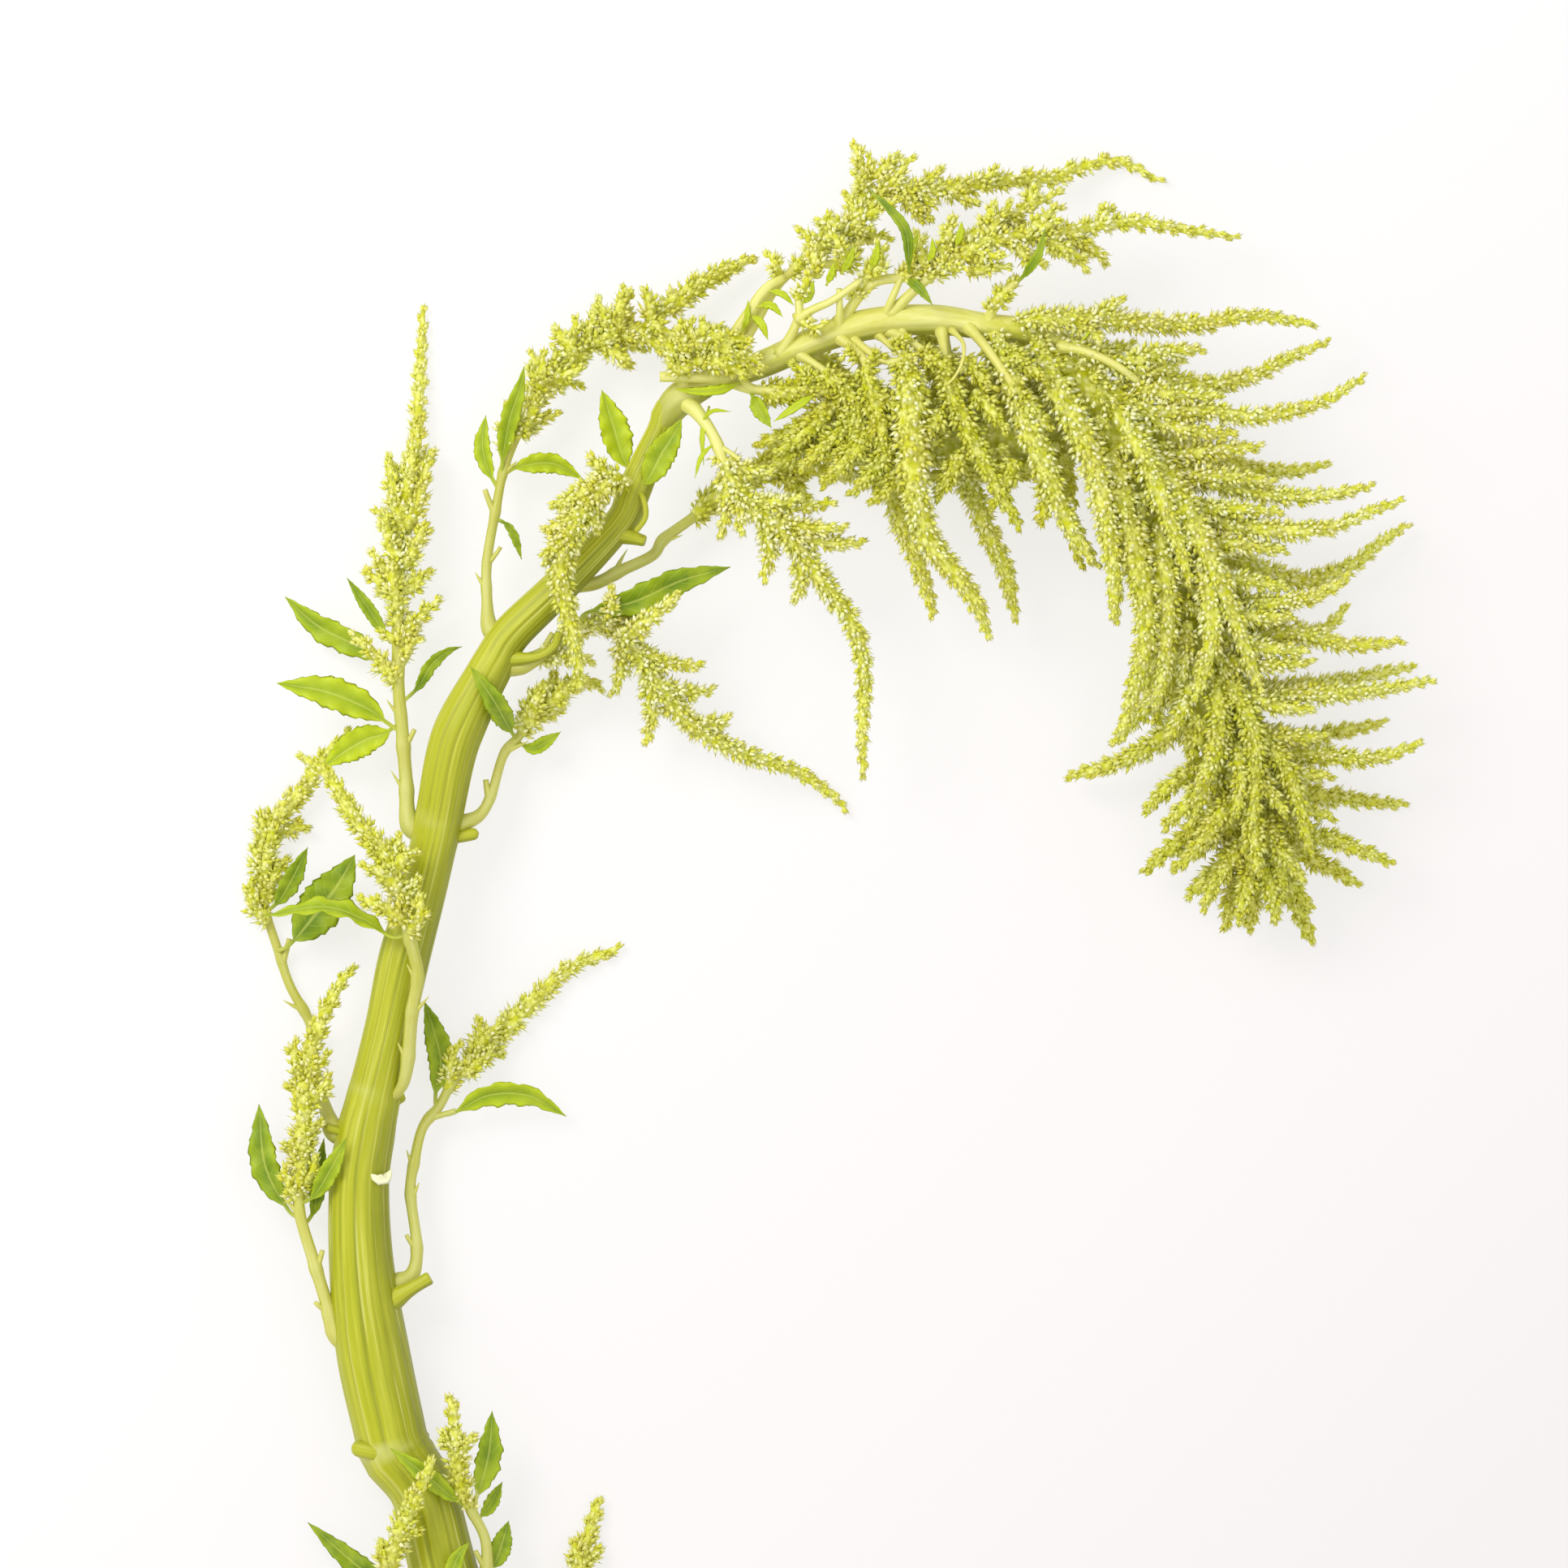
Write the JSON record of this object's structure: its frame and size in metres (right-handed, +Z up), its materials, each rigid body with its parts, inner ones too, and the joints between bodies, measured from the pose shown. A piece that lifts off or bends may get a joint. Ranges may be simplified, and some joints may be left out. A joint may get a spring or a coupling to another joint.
{
  "type": "amaranth seed head",
  "caption": "Cut amaranth stem with an arched, drooping seed head of flower spikes, side sprays and leaves, lying on a surface.",
  "frame": {"origin": "middle of the plant's outline, on the surface that it lies on", "axes": "+Y from the cut end of the stem to the arch, +X to the side that the head hangs over, +Z up from the surface"},
  "size_m": [0.369, 0.4763, 0.0534],
  "materials": {
    "stem": "satin",
    "florets": "matte",
    "leaf": "satin"
  },
  "bodies": {
    "root": {"main_stem": "stem", "seed_head": "florets", "spray_left_tall": "florets", "spray_left_mid": "florets", "spray_front_mid": "florets", "spray_left_low": "florets", "spray_right_low": "florets", "spray_right_short": "florets", "spray_right_long": "florets", "spray_front_hanging": "florets", "spray_centre_hanging": "florets", "spray_top_left": "florets", "spray_back": "florets", "spray_arch_short": "florets", "spray_base_right": "florets", "spray_base_front": "florets", "spray_base_far": "florets", "leaf_left_tall_1": "leaf", "leaf_left_tall_2": "leaf", "leaf_left_tall_3": "leaf", "leaf_left_tall_4": "leaf", "leaf_left_tall_5": "leaf", "leaf_left_mid_1": "leaf", "leaf_left_mid_2": "leaf", "leaf_front_mid": "leaf", "leaf_left_low_1": "leaf", "leaf_left_low_2": "leaf", "leaf_left_low_3": "leaf", "leaf_right_low_1": "leaf", "leaf_right_low_2": "leaf", "leaf_right_short_1": "leaf", "leaf_right_short_2": "leaf", "leaf_right_long": "leaf", "leaf_top_left_1": "leaf", "leaf_top_left_2": "leaf", "leaf_top_left_3": "leaf", "leaf_top_left_4": "leaf", "leaf_stem_1": "leaf", "leaf_stem_2": "leaf", "leaf_stem_3": "leaf", "leaf_head_1": "leaf", "leaf_head_2": "leaf", "leaf_head_3": "leaf", "leaf_head_4": "leaf", "leaf_base_right_1": "leaf", "leaf_base_right_2": "leaf", "leaf_base_right_3": "leaf", "leaf_base_right_4": "leaf", "leaf_base_right_5": "leaf"}
  },
  "joints": []
}
